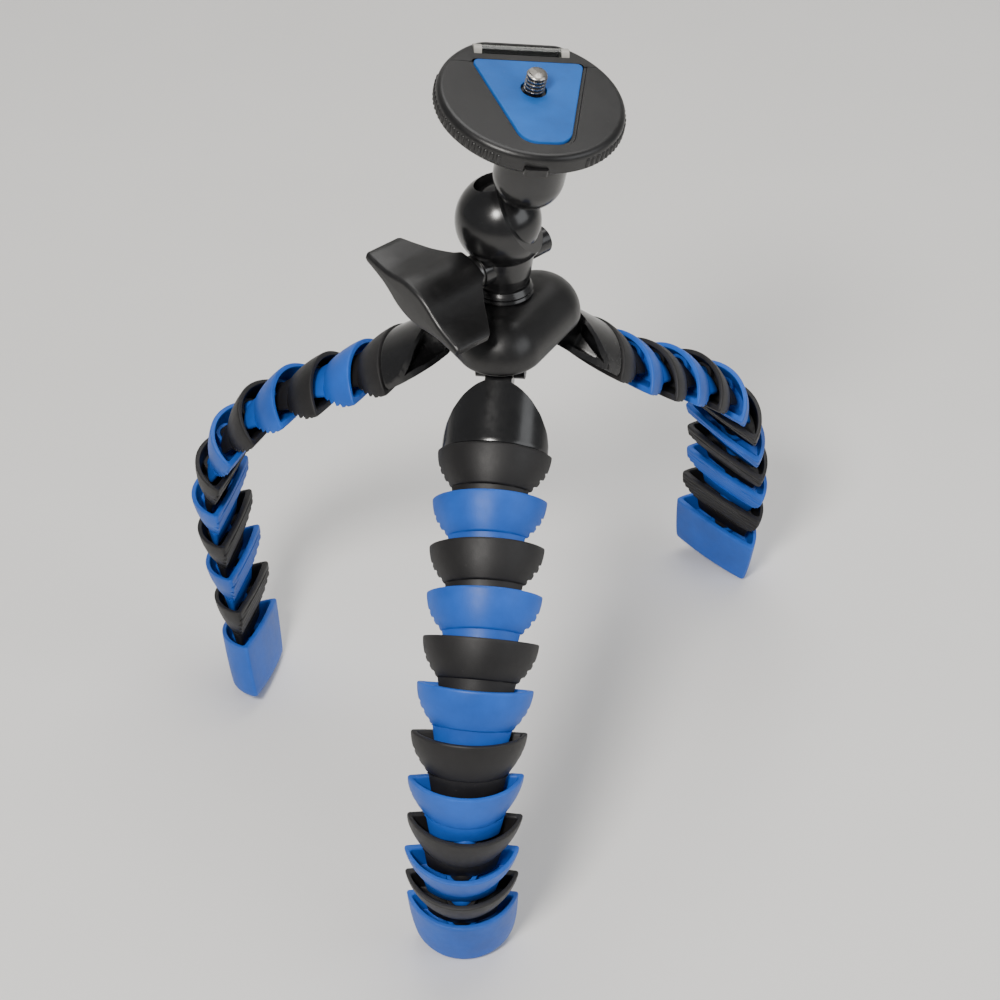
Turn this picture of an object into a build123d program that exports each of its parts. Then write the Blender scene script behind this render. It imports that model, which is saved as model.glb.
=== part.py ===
from build123d import *
import os
import math

os.makedirs("parts", exist_ok=True)

# ------------------------------------------------------------------ driving dimensions (mm)
# frame: the pieces are laid out round the leg roots' centre, +Z up, the front leg toward -Y,
# and moved by OX, OY at the end, so that the origin is under the middle of the object
HUB_Z = 170.0            # height of the three hinge pins
PIN_R0 = 16.0            # pin distance from the hub axis
KNUCKLE_L = 32.0         # hinge pin to the centre of the first ball
PITCH = 15.0             # ball centre to ball centre along a leg
CUP_W = 18.0             # half width of a cup at its rim
CUP_F = -7.0             # flat side of the rim
CUP_A = 7.2              # round side of the rim
RIM_Z = 5.0              # rim plane above the cup's own ball centre
WALL = 1.7               # lip wall
FLOOR_Z = -2.2           # cavity floor
STEP_Z = -7.5            # shoulder above the nose
BALL_R = 3.6             # link ball
SOCK_IN = 3.65           # socket bore (0.05 running fit)
SOCK_OUT = 5.0
RELIEF_R = 5.4           # hollow under the nose, round the next socket
STEM_R = 1.8
FOOT_H = 22.0            # foot height under its rim

# leg roots: azimuth, tilt from vertical, then (curl, side, twist) at each link, degrees
LEGS = {
    "front": (-97.5, 52.46,
              [(0, 0, 0), (0.2, 2.0, 0), (-0.9, 0.4, 0), (-1.3, -0.9, 0.5), (-6.9, -2.1, 2.7),
               (-10.2, -0.6, 4.1), (-11.8, 1.8, 4.4), (-14.1, 1.7, 1.5), (-11.6, -0.4, -1.9),
               (-11.4, 3.6, -1.3), (-2.6, 1.4, -1.7), (3.8, 0.7, 0.0)]),
    "right": (39.4, 49.76,
              [(0, 0, 0), (3.6, 4.8, 1.0), (2.4, 0.9, 1.7), (-2.6, -2.2, -0.9), (-6.9, -0.8, -1.6),
               (-12.8, 4.8, -0.7), (-10.9, 5.9, -0.4), (-2.2, 2.4, -1.3), (-5.0, 0.1, 2.8),
               (-6.4, 0.2, 1.5), (-4.0, -1.0, 1.8), (4.0, -0.3, -0.8)]),
    "left": (155.7, 55.86,
             [(0, 0, 0), (4.4, 6.1, -3.9), (-2.0, -0.1, -0.6), (-9.0, -2.4, 2.0), (-11.7, -1.6, 3.4),
              (-14.1, -3.0, 1.4), (-14.2, -0.1, 2.5), (-12.5, 1.7, 3.9), (-3.5, 1.7, 2.1),
              (-1.5, 2.5, 0.0), (0.1, 3.5, 0.4), (1.3, 1.9, -0.8)]),
}

# hub, neck and head
LOBES = (-95.0, 34.0, 152.5)
LOBE_R, LOBE_RHO = 26.4, 13.8
DOME_Z0, DOME_Z1 = 171.6, 186.5
HX = -1.1                # the hub and the head stand this far left of the leg roots' centre
OX, OY = 6.8, 4.4        # puts the origin under the middle of the whole object
BALL_C = (0.0, 0.0, 212.4)
HEAD_R = 12.0            # head ball
HOUSE_R = 14.7           # socket housing outside
BOLT_Z = 198.5
BOLT_AZ = 222.0          # direction of the wing knob from the neck
BOLT_R = 1.5
DISC_N = (0.188, -0.155, 0.970)
DISC_L = (0.14, -0.98, -0.18)
DISC_H = 48.0            # ball centre to the top of the platform
DISC_R = 28.3
DISC_T = 7.0
PLATE_T = 4.0
SCREW_R = 3.175
NECK_R = 2.6             # plain neck of the camera screw, held in the plate
OPEN_N = (0.85, -0.15, 0.50)   # the way the mouth of the socket faces
OPEN_D = 6.2


# ------------------------------------------------------------------ small helpers
def vadd(a, b, s=1.0):
    return tuple(a[i] + b[i] * s for i in range(3))


def cross(a, b):
    return (a[1] * b[2] - a[2] * b[1], a[2] * b[0] - a[0] * b[2], a[0] * b[1] - a[1] * b[0])


def dot(a, b):
    return sum(a[i] * b[i] for i in range(3))


def unit(a):
    m = math.sqrt(dot(a, a))
    return tuple(c / m for c in a)


def mul(A, B):
    return [[sum(A[i][k] * B[k][j] for k in range(3)) for j in range(3)] for i in range(3)]


def rot(ax, deg):
    c, s = math.cos(math.radians(deg)), math.sin(math.radians(deg))
    if ax == "x":
        return [[1, 0, 0], [0, c, -s], [0, s, c]]
    if ax == "y":
        return [[c, 0, s], [0, 1, 0], [-s, 0, c]]
    return [[c, -s, 0], [s, c, 0], [0, 0, 1]]


def col(R, j):
    return (R[0][j], R[1][j], R[2][j])


def place(R, p):
    return Location(Plane(origin=p, x_dir=col(R, 0), z_dir=col(R, 2)))


def leg_frames(name):
    """Knuckle frame, then the frames of the twelve links (eleven cups and the foot)."""
    az, tilt, bends = LEGS[name]
    a = math.radians(az)
    out = (math.cos(a), math.sin(a), 0.0)
    side = cross(out, (0, 0, 1))
    B = [[side[i], out[i], (0, 0, 1)[i]] for i in range(3)]
    R = mul(B, rot("x", tilt))
    pin = (PIN_R0 * out[0], PIN_R0 * out[1], HUB_Z)
    piv = vadd(pin, col(R, 2), -KNUCKLE_L)
    links = []
    for bx, by, bz in bends:
        R = mul(mul(mul(R, rot("x", bx)), rot("y", by)), rot("z", bz))
        links.append((piv, R))
        piv = vadd(piv, col(R, 2), -PITCH)
    return pin, out, links


def d_face(w, yf, ya, z, rc=0.9):
    """Half-moon section: corners at (+-w, yf), crown at ya, back bulging a little past yf."""
    k = 0.055 * w
    f = make_face([ThreePointArc((-w, yf), (0, ya), (w, yf)), ThreePointArc((w, yf), (0, yf - k), (-w, yf))])
    return Pos(0, 0, z) * fillet(f.vertices(), rc)


def d_loft(*sections):
    return loft(sections=list(sections), ruled=True)


def ball_at(r, z=0.0):
    return Pos(0, 0, z) * Sphere(r)


def rod(r, p0, p1):
    """Round bar from p0 to p1."""
    d = tuple(p1[i] - p0[i] for i in range(3))
    L = math.sqrt(dot(d, d))
    pl = Plane(origin=p0, z_dir=unit(d))
    return extrude(pl * Circle(r), amount=L)


def prism_yz(pts, x0, x1):
    """Polygon given as (y, z), extruded along x."""
    pl = Plane(origin=(x0, 0, 0), x_dir=(0, 1, 0), z_dir=(1, 0, 0))
    return extrude(pl * make_face([Line(pts[i], pts[(i + 1) % len(pts)]) for i in range(len(pts))]),
                   amount=x1 - x0)


# ------------------------------------------------------------------ leg links
def socket_in(body):
    """Cavity with the ball socket standing on its floor."""
    cav = d_loft(d_face(14.0, -3.9, 4.0, FLOOR_Z, 0.8),
                 d_face(CUP_W - WALL, CUP_F + WALL, CUP_A - WALL, RIM_Z + 0.001, 0.8))
    body = body - cav
    a = math.radians(53.0)
    mouth = Pos(0, 0, 4.0) * Cone(0.001, 8.0 * math.tan(a), 8.0)
    body = body + (ball_at(SOCK_OUT) - mouth)
    return body - ball_at(SOCK_IN)


def nose_solid(z_top, z_bot):
    return d_loft(d_face(11.6, -2.3, 2.8, z_bot, 0.8), d_face(12.7, -3.2, 3.8, z_top, 0.8))


def make_cup():
    body = d_loft(d_face(13.2, CUP_F, 4.4, STEP_Z), d_face(15.4, CUP_F, 5.6, -4.0),
                  d_face(17.2, CUP_F, 6.6, 0.0), d_face(CUP_W, CUP_F, CUP_A, RIM_Z))
    stair = [(-10, 1.9), (-6.8, 1.9), (-6.8, -0.6), (-5.9, -0.6), (-5.9, -3.1), (-5.0, -3.1), (-5.0, -5.6),
             (-4.1, -5.6), (-4.1, -9.0), (-10, -9.0)]
    body = body - prism_yz(stair, -20, 20)
    body = body + nose_solid(STEP_Z + 0.5, -PITCH + 1.0)
    body = body - ball_at(RELIEF_R, -PITCH)
    body = socket_in(body)
    return body + ball_at(BALL_R, -PITCH) + rod(STEM_R, (0, 0, -PITCH), (0, 0, -PITCH + 6.5))


def make_foot():
    z0 = RIM_Z - FOOT_H
    body = d_loft(d_face(14.9, CUP_F, 5.2, z0, 0.8), d_face(16.1, CUP_F, 6.3, z0 + 1.2),
                  d_face(17.3, CUP_F, 6.9, -5.0), d_face(CUP_W, CUP_F, CUP_A, RIM_Z))
    return socket_in(body)


def make_knuckle():
    """Origin at the first ball centre; the hinge pin is at z = KNUCKLE_L."""
    zp = KNUCKLE_L
    zb = RIM_Z + 0.05
    prof = [(4.0, 7.6), (7.1, 9.0), (10.5, 11.7), (13.7, 15.7), (15.8, 20.2), (16.5, 24.6), (16.3, zp - zb)]
    right = [(x, zp - L) for x, L in prof]
    left = [(-x, z) for x, z in reversed(right)]
    pl = Plane(origin=(0, -8, 0), x_dir=(1, 0, 0), z_dir=(0, -1, 0))
    front = make_face([Spline(*right), Line(right[-1], left[0]), Spline(*left), Line(left[-1], right[0])])
    sil = extrude(pl * front, amount=-16)
    body = d_loft(d_face(16.9, -5.8, 6.6, zb), d_face(16.6, -5.2, 7.2, zp - 7.0))
    crown = sil & body
    # open pockets in both sides, behind a wall that follows the crown
    inner = d_loft(d_face(15.4, -4.2, 5.1, zb, 0.8), d_face(15.1, -3.6, 5.7, zp))
    for x0, x1 in ((4.0, 20.0), (-20.0, -4.0)):
        crown = crown - (inner & prism_yz([(5.4, zp - 5.0), (-3.4, zp - 5.0), (0.6, zp - 24.5)], x0, x1))
    ear = extrude(Plane(origin=(-4.15, 0, zp), z_dir=(1, 0, 0)) * Circle(4.0), amount=8.3)
    ear = ear + Pos(0, 0, zp - 5.5) * Box(8.3, 8.0, 11.0)
    body = crown + ear + nose_solid(zb + 1.0, 1.0)
    body = body - ball_at(RELIEF_R) + ball_at(BALL_R) + rod(STEM_R, (0, 0, 0), (0, 0, 7.0))
    return body - rod(1.55, (-5, 0, zp), (5, 0, zp))


# ------------------------------------------------------------------ hub
def lobed(inset, z0, z1):
    circ = []
    for az in LOBES:
        a = math.radians(az)
        d = LOBE_R - LOBE_RHO
        circ.append((d * math.cos(a), d * math.sin(a)))
    r = LOBE_RHO - inset
    sk = make_face([Line(circ[i], circ[(i + 1) % 3]) for i in range(3)])
    out = extrude(Plane(origin=(0, 0, z0)) * sk, amount=z1 - z0)
    for i in range(3):
        p, q = circ[i], circ[(i + 1) % 3]
        out = out + Pos(p[0], p[1], (z0 + z1) / 2) * Cylinder(r, z1 - z0)
        L = math.hypot(q[0] - p[0], q[1] - p[1])
        ang = math.degrees(math.atan2(q[1] - p[1], q[0] - p[0]))
        out = out + Pos((p[0] + q[0]) / 2, (p[1] + q[1]) / 2, (z0 + z1) / 2) * Rot(0, 0, ang) * Box(L, 2 * r, z1 - z0)
    return out.clean()


def hinge_frames():
    return [(n, leg_frames(n)[0], leg_frames(n)[1]) for n in ("front", "right", "left")]


def make_dome():
    dome = lobed(0.0, DOME_Z0, DOME_Z1)
    top = dome.edges().filter_by(lambda e: abs(e.center().Z - DOME_Z1) < 0.01)
    dome = fillet(top, 12.0)
    low = dome.edges().filter_by(lambda e: abs(e.center().Z - DOME_Z0) < 0.01)
    dome = fillet(low, 2.2)
    dome = dome - lobed(4.6, DOME_Z0 - 1, 180.5) - lobed(2.6, DOME_Z0 - 1, 175.5)
    dome = Pos(HX, 0, 0) * (dome + Pos(0, 0, (167.5 + 184) / 2) * Cylinder(9.5, 184 - 167.5))
    for n, pin, out in hinge_frames():
        side = cross(out, (0, 0, 1))
        R = [[side[i], out[i], (0, 0, 1)[i]] for i in range(3)]
        loc = place(R, pin)
        for s in (-1, 1):
            c = Pos(s * 6.0, 0, 0) * Rot(0, 90, 0) * Cylinder(4.2, 3.3)
            c = c + Pos(s * 6.0, 0, 4.5) * Box(3.3, 8.4, 9.0)
            c = c + Pos(s * 6.0, -5.0, 3.5) * Box(3.3, 5.0, 6.0)
            dome = dome + loc * c
        dome = dome - loc * rod(1.5, (-9, 0, 0), (9, 0, 0))
        dome = dome - loc * (Pos(0, 0, 2.0) * Box(8.7, 8.9, 8.9))
    dome = dome - Pos(HX, 0, 169.2) * Cylinder(4.4, 3.6)
    dome = dome - Pos(HX, 0, 178) * Cylinder(2.45, 24)
    for k in range(3):
        a = math.radians(k * 120 - 30)
        dome = dome - Pos(HX + 7.0 * math.cos(a), 7.0 * math.sin(a), 169.5) * Cylinder(1.0, 6)
    return dome


def make_base():
    b = Pos(0, 0, 166.2) * Cylinder(10.8, 2.6)
    for k in range(3):
        a = math.radians(k * 120 - 30)
        b = b - Pos(7.0 * math.cos(a), 7.0 * math.sin(a), 166) * Cylinder(1.0, 6)
    return b


def make_hub_screws():
    s = []
    for k in range(3):
        a = math.radians(k * 120 - 30)
        x, y = 7.0 * math.cos(a), 7.0 * math.sin(a)
        one = Pos(x, y, 168.2) * Cylinder(1.0, 6.6) + Pos(x, y, 164.4) * Cylinder(1.9, 1.0)
        s.append(one - Pos(x, y, 164.1) * Box(3.0, 0.5, 0.6))
    return Compound(children=s)


def make_pins():
    s = []
    for n, pin, out in hinge_frames():
        side = cross(out, (0, 0, 1))
        s.append(rod(1.5, vadd(pin, side, -7.6), vadd(pin, side, 7.6)))
    return Compound(children=s)


# ------------------------------------------------------------------ neck
KD = (math.cos(math.radians(BOLT_AZ)), math.sin(math.radians(BOLT_AZ)), 0.0)


def on_bolt(d):
    return (KD[0] * d, KD[1] * d, BOLT_Z)


def make_neck():
    pl = Plane.XZ
    prof = [(0, 190.6), (7.8, 190.6), (8.2, 192.4), (8.7, 194.5), (9.4, 199.0), (10.2, 203.2), (10.2, 208.0), (0, 208.0)]
    body = revolve(pl * make_face([Line(prof[i], prof[(i + 1) % len(prof)]) for i in range(len(prof))]), axis=Axis.Z)
    body = body + Pos(*BALL_C) * Sphere(HOUSE_R)
    body = body + rod(5.4, (0, 0, BOLT_Z), on_bolt(11.4)) + rod(4.4, (0, 0, BOLT_Z), on_bolt(-16.6))
    # mouth of the socket: plane cut, then the bore
    n = unit(OPEN_N)
    p = vadd(BALL_C, n, OPEN_D)
    cut = extrude(Plane(origin=p, z_dir=n) * Rectangle(60, 60), amount=30)
    body = body - cut
    body = body - Pos(*BALL_C) * Sphere(HEAD_R + 0.06)
    # the mouth runs on into a round-ended slot over the top, for the stem to stand in
    slot = Pos(-2.9, 0.3, BALL_C[2] + 13) * Cylinder(5.8, 16) + Pos(3.0, 0.3, BALL_C[2] + 13) * Box(11.8, 11.6, 16)
    body = body - slot
    # bolt bore, nut pocket, screw bore
    body = body - rod(BOLT_R + 0.05, on_bolt(-20), on_bolt(13))
    nut = extrude(Plane(origin=on_bolt(-14.4), x_dir=(0, 0, 1), z_dir=tuple(-c for c in KD)) * RegularPolygon(3.3, 6), amount=6)
    body = body - nut - rod(5.1, on_bolt(11.4), on_bolt(16))
    return body - Pos(0, 0, 192.5) * Cylinder(2.45, 4.8)


def make_collar():
    pl = Plane.XZ
    prof = [(2.9, 187.0), (9.4, 187.0), (9.5, 187.5), (9.1, 188.2), (9.3, 188.9), (8.9, 189.6), (8.3, 190.5), (2.9, 190.5)]
    return revolve(pl * make_face([Line(prof[i], prof[(i + 1) % len(prof)]) for i in range(len(prof))]), axis=Axis.Z)


def make_neck_screw():
    s = Pos(0, 0, 182.6) * Cylinder(2.4, 24.4) + Pos(0, 0, 169.1) * Cylinder(4.0, 2.8)
    return s - Pos(0, 0, 168.0) * Box(5.0, 0.9, 1.4)


WING_ROLL = 20.7
W_T = (-KD[1], KD[0], 0.0)


def knob_plane(d):
    c, s = math.cos(math.radians(WING_ROLL)), math.sin(math.radians(WING_ROLL))
    w = (W_T[0] * c, W_T[1] * c, -s)
    return Plane(origin=on_bolt(d), x_dir=w, z_dir=KD)


def make_knob():
    half = [(22.2, 0.0), (21.6, 1.5), (18.0, 1.9), (13.0, 2.6), (9.0, 3.9), (6.0, 5.2), (3.0, 5.9), (0.0, 6.1)]
    top = half + [(-x, y) for x, y in reversed(half[:-1])]
    bot = [(x, -y) for x, y in reversed(top)]
    sk = make_face([Spline(*top[1:-1]), Spline(*bot[1:-1]),
                    ThreePointArc(top[-2], top[-1], (top[-2][0], -top[-2][1])),
                    ThreePointArc((top[1][0], -top[1][1]), top[0], top[1])])
    k0, k1 = 13.0, 38.0
    pl = knob_plane(k0)
    blade = extrude(pl * sk, amount=k1 - k0)
    # back edge of the wings slopes in to the hub of the knob
    side = Plane(origin=on_bolt(k0), x_dir=pl.x_dir, z_dir=cross(tuple(pl.x_dir), KD))
    pts = [(5.0, 0), (6.8, 2.9), (22.4, 11.9), (30, 11.9), (30, -30), (5.0, -30)]
    for s in (1, -1):
        poly = make_face([Line((s * pts[i][0], pts[i][1]), (s * pts[(i + 1) % 6][0], pts[(i + 1) % 6][1])) for i in range(6)])
        # local y of the side plane runs along the bolt
        f = side * poly
        c = extrude(f, amount=20) + extrude(f, amount=-20)
        blade = blade - c
    blade = blade - rod(12, on_bolt(k0 - 1), on_bolt(k0 + 0.6))
    hubc = rod(5.2, on_bolt(k0), on_bolt(k1 - 2.0))
    knob = blade + hubc
    return knob - rod(BOLT_R, on_bolt(k0 - 1), on_bolt(31.0))


def make_bolt():
    return rod(BOLT_R, on_bolt(-16.2), on_bolt(31.0))


def make_nut():
    nut = extrude(Plane(origin=on_bolt(-14.4), x_dir=(0, 0, 1), z_dir=tuple(-c for c in KD)) * RegularPolygon(3.3, 6), amount=2.6)
    return nut - rod(BOLT_R + 0.05, on_bolt(-20), on_bolt(-10))


def make_washer():
    return rod(4.8, on_bolt(11.5), on_bolt(13.0)) - rod(BOLT_R, on_bolt(9), on_bolt(14))


# ------------------------------------------------------------------ head
N = unit(DISC_N)
_l = tuple(DISC_L[i] - N[i] * dot(DISC_L, N) for i in range(3))
EY = tuple(-c for c in unit(_l))
EX = cross(EY, N)
DC = vadd(BALL_C, N, DISC_H)
DISC_RM = [[EX[i], EY[i], N[i]] for i in range(3)]
DLOC = place(DISC_RM, DC)          # disc frame: x right, y back, z out of the top
PX = 1.2                           # the plate's middle line
SCR = (0.9, 2.6)                   # camera screw
VIAL_Y, VIAL_Z, VIAL_R = 21.2, -1.2, 2.2
BACK_Y = 24.4
SEAM_Y = 14.8
BTN_X = -2.4


def tongue(g):
    """Tapered tongue outline, grown by g."""
    f = make_face(Polyline((PX - 18.0 - g, SEAM_Y + 0.2), (PX - 7.7 - g, -22.3 - g), (PX + 7.7 + g, -22.3 - g), (PX + 18.0 + g, SEAM_Y + 0.2), close=True))
    front = [v for v in f.vertices() if v.Y < -15]
    return fillet(front, 5.6)


def make_disc():
    d = Pos(0, 0, -DISC_T / 2) * Cylinder(DISC_R, DISC_T)
    d = fillet(d.edges().filter_by(lambda e: abs(e.center().Z) < 0.01), 2.0)
    d = chamfer(d.edges().filter_by(lambda e: abs(e.center().Z + DISC_T) < 0.01), 1.2)
    d = d - Pos(0, BACK_Y + 10, -3) * Box(80, 20, 20)
    d = d - Pos(0, SEAM_Y + 20, 0) * Box(80, 40, 2 * (PLATE_T + 0.15))
    d = d - extrude(Plane(origin=(0, 0, -PLATE_T - 0.15)) * tongue(0.15), amount=10)
    # spigot bore and the release button's pocket
    d = d - Pos(0, 0, -6.0) * Cylinder(4.06, 4.0)
    d = d - Pos(BTN_X, -26.4, -5.1) * Box(7.3, 7.6, 2.5)
    d = d - rod(1.3, (BTN_X, -24.5, -5.1), (BTN_X, -18.2, -5.1))
    return DLOC * d


def make_plate():
    seg = Pos(0, 0, -PLATE_T / 2) * Cylinder(DISC_R, PLATE_T)
    seg = fillet(seg.edges().filter_by(lambda e: abs(e.center().Z) < 0.01), 2.0)
    seg = seg - Pos(0, SEAM_Y + 0.15 - 50, 0) * Box(100, 100, 20) - Pos(0, BACK_Y + 10, 0) * Box(80, 20, 20)
    p = seg + extrude(Plane(origin=(0, 0, -PLATE_T)) * tongue(0.0), amount=PLATE_T - 0.2)
    p = p - extrude(Plane(origin=(0, 0, -0.8)) * pad_face(-0.45), amount=3)
    p = p - Pos(0, VIAL_Y, VIAL_Z) * Rot(0, 90, 0) * Cylinder(VIAL_R + 0.2, 29.2)
    p = p - Pos(0, VIAL_Y, 1.0) * Box(29.2, 2 * VIAL_R + 0.4, 4.4)
    p = p - Pos(SCR[0], SCR[1], -2) * Cylinder(NECK_R + 0.08, 10)
    return DLOC * (p - Pos(SCR[0], SCR[1], -3.1) * Cylinder(6.3, 2.6))


def pad_face(g):
    """Pad outline, shrunk by g."""
    yb = SEAM_Y + 1.0 - g
    f = make_face(Polyline((PX - 17.1 + g, yb), (PX - 6.9 + g, -21.4 + g), (PX + 6.9 - g, -21.4 + g), (PX + 17.1 - g, yb), close=True))
    back = [v for v in f.vertices() if v.Y > 0]
    f = fillet(back, 1.4)
    front = [v for v in f.vertices() if v.Y < -15]
    return fillet(front, 6.2)


def make_pad():
    p = extrude(Plane(origin=(0, 0, -0.8)) * pad_face(0.0), amount=1.2)
    return DLOC * (p - Pos(SCR[0], SCR[1], 0) * Cylinder(3.9, 4))


def make_screw():
    z1 = 6.6
    s = Pos(SCR[0], SCR[1], (0.6 + z1) / 2) * Cylinder(SCREW_R, z1 - 0.6)
    s = chamfer(s.edges().filter_by(lambda e: abs(e.center().Z - z1) < 0.01), 0.6)
    s = s + Pos(SCR[0], SCR[1], -0.9) * Cylinder(NECK_R, 3.2)
    s = s + Pos(SCR[0], SCR[1], -2.95) * Cylinder(5.9, 1.7)
    return DLOC * (s - Pos(SCR[0], SCR[1], -3.6) * Box(9.0, 1.2, 0.8))


def make_vial():
    v = Pos(0, VIAL_Y, VIAL_Z) * Rot(0, 90, 0) * (Cylinder(VIAL_R, 24.4) - Cylinder(VIAL_R - 0.5, 24.4))
    return DLOC * v


def make_caps():
    s = [Pos(sx * 13.4, VIAL_Y, VIAL_Z) * Rot(0, 90, 0) * Cylinder(VIAL_R + 0.05, 2.4) for sx in (-1, 1)]
    return Compound(children=[DLOC * c for c in s])


def make_button():
    b = Pos(BTN_X, -27.1, -5.1) * Box(7.0, 4.4, 2.2)
    b = fillet(b.edges().filter_by(Axis.Z), 0.8)
    return DLOC * b


def make_spring():
    h = Helix(pitch=0.9, height=3.0, radius=0.8)
    start = h @ 0
    tan = h % 0
    w = sweep(Plane(origin=start, z_dir=tan) * Circle(0.2), path=h)
    return DLOC * (Pos(BTN_X, -24.7, -5.1) * Rot(-90, 0, 0) * w)


def make_stem():
    s = Sphere(HEAD_R)
    under = DISC_H - DISC_T
    off = (-1.0 + 2.9, -9.0)
    z1 = under - 0.3
    s = s + Pos(0, 0, 12.0) * Cylinder(4.4, 24.0)
    bell = Pos(off[0], off[1], 26.0) * Sphere(10.8) + Pos(off[0], off[1], (26 + z1) / 2) * Cylinder(10.8, z1 - 26.0)
    neck = loft(sections=[Plane(origin=(0, 0, 14.6)) * Circle(4.4), Plane(origin=(off[0] * 0.6, off[1] * 0.6, 22.5)) * Circle(8.2)])
    s = s + bell + neck + Pos(0, 0, (z1 + z1 + 3.2) / 2 - 1) * Cylinder(4.0, 5.2)
    return place(DISC_RM, BALL_C) * s


# ------------------------------------------------------------------ build every node
nodes = {}
nodes["platform_disc"] = make_disc()
nodes["quick_release_plate"] = make_plate()
nodes["plate_pad"] = make_pad()
nodes["camera_screw"] = make_screw()
nodes["vial_tube"] = make_vial()
nodes["vial_caps"] = make_caps()
nodes["release_button"] = make_button()
nodes["release_spring"] = make_spring()
nodes["ball_stem"] = make_stem()
nodes["neck_housing"] = make_neck()
nodes["wing_knob"] = make_knob()
nodes["clamp_bolt"] = make_bolt()
nodes["clamp_nut"] = make_nut()
nodes["clamp_washer"] = make_washer()
nodes["collar_ring"] = make_collar()
nodes["neck_screw"] = make_neck_screw()
nodes["hub_dome"] = make_dome()
nodes["hub_base"] = make_base()
nodes["hinge_pins"] = make_pins()
nodes["hub_screws"] = make_hub_screws()

cup = make_cup()
foot = make_foot()
knuckle = make_knuckle()
for name in LEGS:
    pin, out, links = leg_frames(name)
    nodes[name + "_knuckle"] = place(links[0][1], links[0][0]) * knuckle
    for i in range(11):
        nodes["%s_cup_%02d" % (name, i + 1)] = place(links[i][1], links[i][0]) * cup
    nodes[name + "_foot"] = place(links[11][1], links[11][0]) * foot

HEAD = ("platform_disc", "quick_release_plate", "plate_pad", "camera_screw", "vial_tube", "vial_caps",
        "release_button", "release_spring", "ball_stem", "neck_housing", "wing_knob", "clamp_bolt", "clamp_nut",
        "clamp_washer", "collar_ring", "neck_screw", "hub_base", "hub_screws")
for k, s in nodes.items():
    mv = Pos(OX + (HX if k in HEAD else 0.0), OY, 0)
    s = mv * s if len(s.solids()) == 1 else Compound(children=[mv * c for c in s.solids()])
    nodes[k] = s
    sol = s.solids()
    vol = sum(x.volume for x in sol)
    bb = s.bounding_box()
    print("%-22s solids %d vol %9.1f  z %.2f..%.2f" % (k, len(sol), vol, bb.min.Z, bb.max.Z))
    export_step(s, "parts/%s.step" % k)
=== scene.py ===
import bpy
import bmesh
import math
from mathutils import Matrix, Vector


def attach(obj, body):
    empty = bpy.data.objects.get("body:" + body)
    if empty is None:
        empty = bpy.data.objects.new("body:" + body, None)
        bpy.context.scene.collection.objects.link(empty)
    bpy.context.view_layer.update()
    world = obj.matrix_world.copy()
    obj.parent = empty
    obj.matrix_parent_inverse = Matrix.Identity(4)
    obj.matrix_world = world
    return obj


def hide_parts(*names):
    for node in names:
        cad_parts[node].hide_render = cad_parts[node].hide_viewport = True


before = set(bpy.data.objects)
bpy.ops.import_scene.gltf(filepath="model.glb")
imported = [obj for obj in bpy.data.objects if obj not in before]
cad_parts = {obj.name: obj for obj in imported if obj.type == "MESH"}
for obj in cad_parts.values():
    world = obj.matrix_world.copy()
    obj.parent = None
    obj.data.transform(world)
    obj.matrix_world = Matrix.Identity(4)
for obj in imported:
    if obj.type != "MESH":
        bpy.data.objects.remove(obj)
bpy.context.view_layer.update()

MM = 0.001

# ------------------------------------------------------------------ the same numbers as the solid model (mm)
HUB_Z, PIN_R0, KNUCKLE_L, PITCH = 170.0, 16.0, 32.0, 15.0
LEGS = {
    "front": (-97.5, 52.46,
              [(0, 0, 0), (0.2, 2.0, 0), (-0.9, 0.4, 0), (-1.3, -0.9, 0.5), (-6.9, -2.1, 2.7),
               (-10.2, -0.6, 4.1), (-11.8, 1.8, 4.4), (-14.1, 1.7, 1.5), (-11.6, -0.4, -1.9),
               (-11.4, 3.6, -1.3), (-2.6, 1.4, -1.7), (3.8, 0.7, 0.0)]),
    "right": (39.4, 49.76,
              [(0, 0, 0), (3.6, 4.8, 1.0), (2.4, 0.9, 1.7), (-2.6, -2.2, -0.9), (-6.9, -0.8, -1.6),
               (-12.8, 4.8, -0.7), (-10.9, 5.9, -0.4), (-2.2, 2.4, -1.3), (-5.0, 0.1, 2.8),
               (-6.4, 0.2, 1.5), (-4.0, -1.0, 1.8), (4.0, -0.3, -0.8)]),
    "left": (155.7, 55.86,
             [(0, 0, 0), (4.4, 6.1, -3.9), (-2.0, -0.1, -0.6), (-9.0, -2.4, 2.0), (-11.7, -1.6, 3.4),
              (-14.1, -3.0, 1.4), (-14.2, -0.1, 2.5), (-12.5, 1.7, 3.9), (-3.5, 1.7, 2.1),
              (-1.5, 2.5, 0.0), (0.1, 3.5, 0.4), (1.3, 1.9, -0.8)]),
}
OX, OY, HX = 6.8, 4.4, -1.1
BALL_C = Vector((OX + HX, OY, 212.4))
DISC_N = Vector((0.188, -0.155, 0.970)).normalized()
DISC_L = Vector((0.14, -0.98, -0.18))
EY = -(DISC_L - DISC_N * DISC_L.dot(DISC_N)).normalized()
EX = EY.cross(DISC_N)
DC = BALL_C + DISC_N * 48.0


def rx(a):
    return Matrix.Rotation(math.radians(a), 3, "X")


def ry(a):
    return Matrix.Rotation(math.radians(a), 3, "Y")


def rz(a):
    return Matrix.Rotation(math.radians(a), 3, "Z")


def leg_frames(name):
    az, tilt, bends = LEGS[name]
    a = math.radians(az)
    out = Vector((math.cos(a), math.sin(a), 0))
    side = out.cross(Vector((0, 0, 1)))
    B = Matrix((side, out, Vector((0, 0, 1)))).transposed()
    R = B @ rx(tilt)
    pin = out * PIN_R0 + Vector((OX, OY, HUB_Z))
    piv = pin - R.col[2] * KNUCKLE_L
    links = []
    for bx, by, bz in bends:
        R = R @ rx(bx) @ ry(by) @ rz(bz)
        links.append((piv.copy(), R.copy()))
        piv = piv - R.col[2] * PITCH
    return pin, out, links


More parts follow.
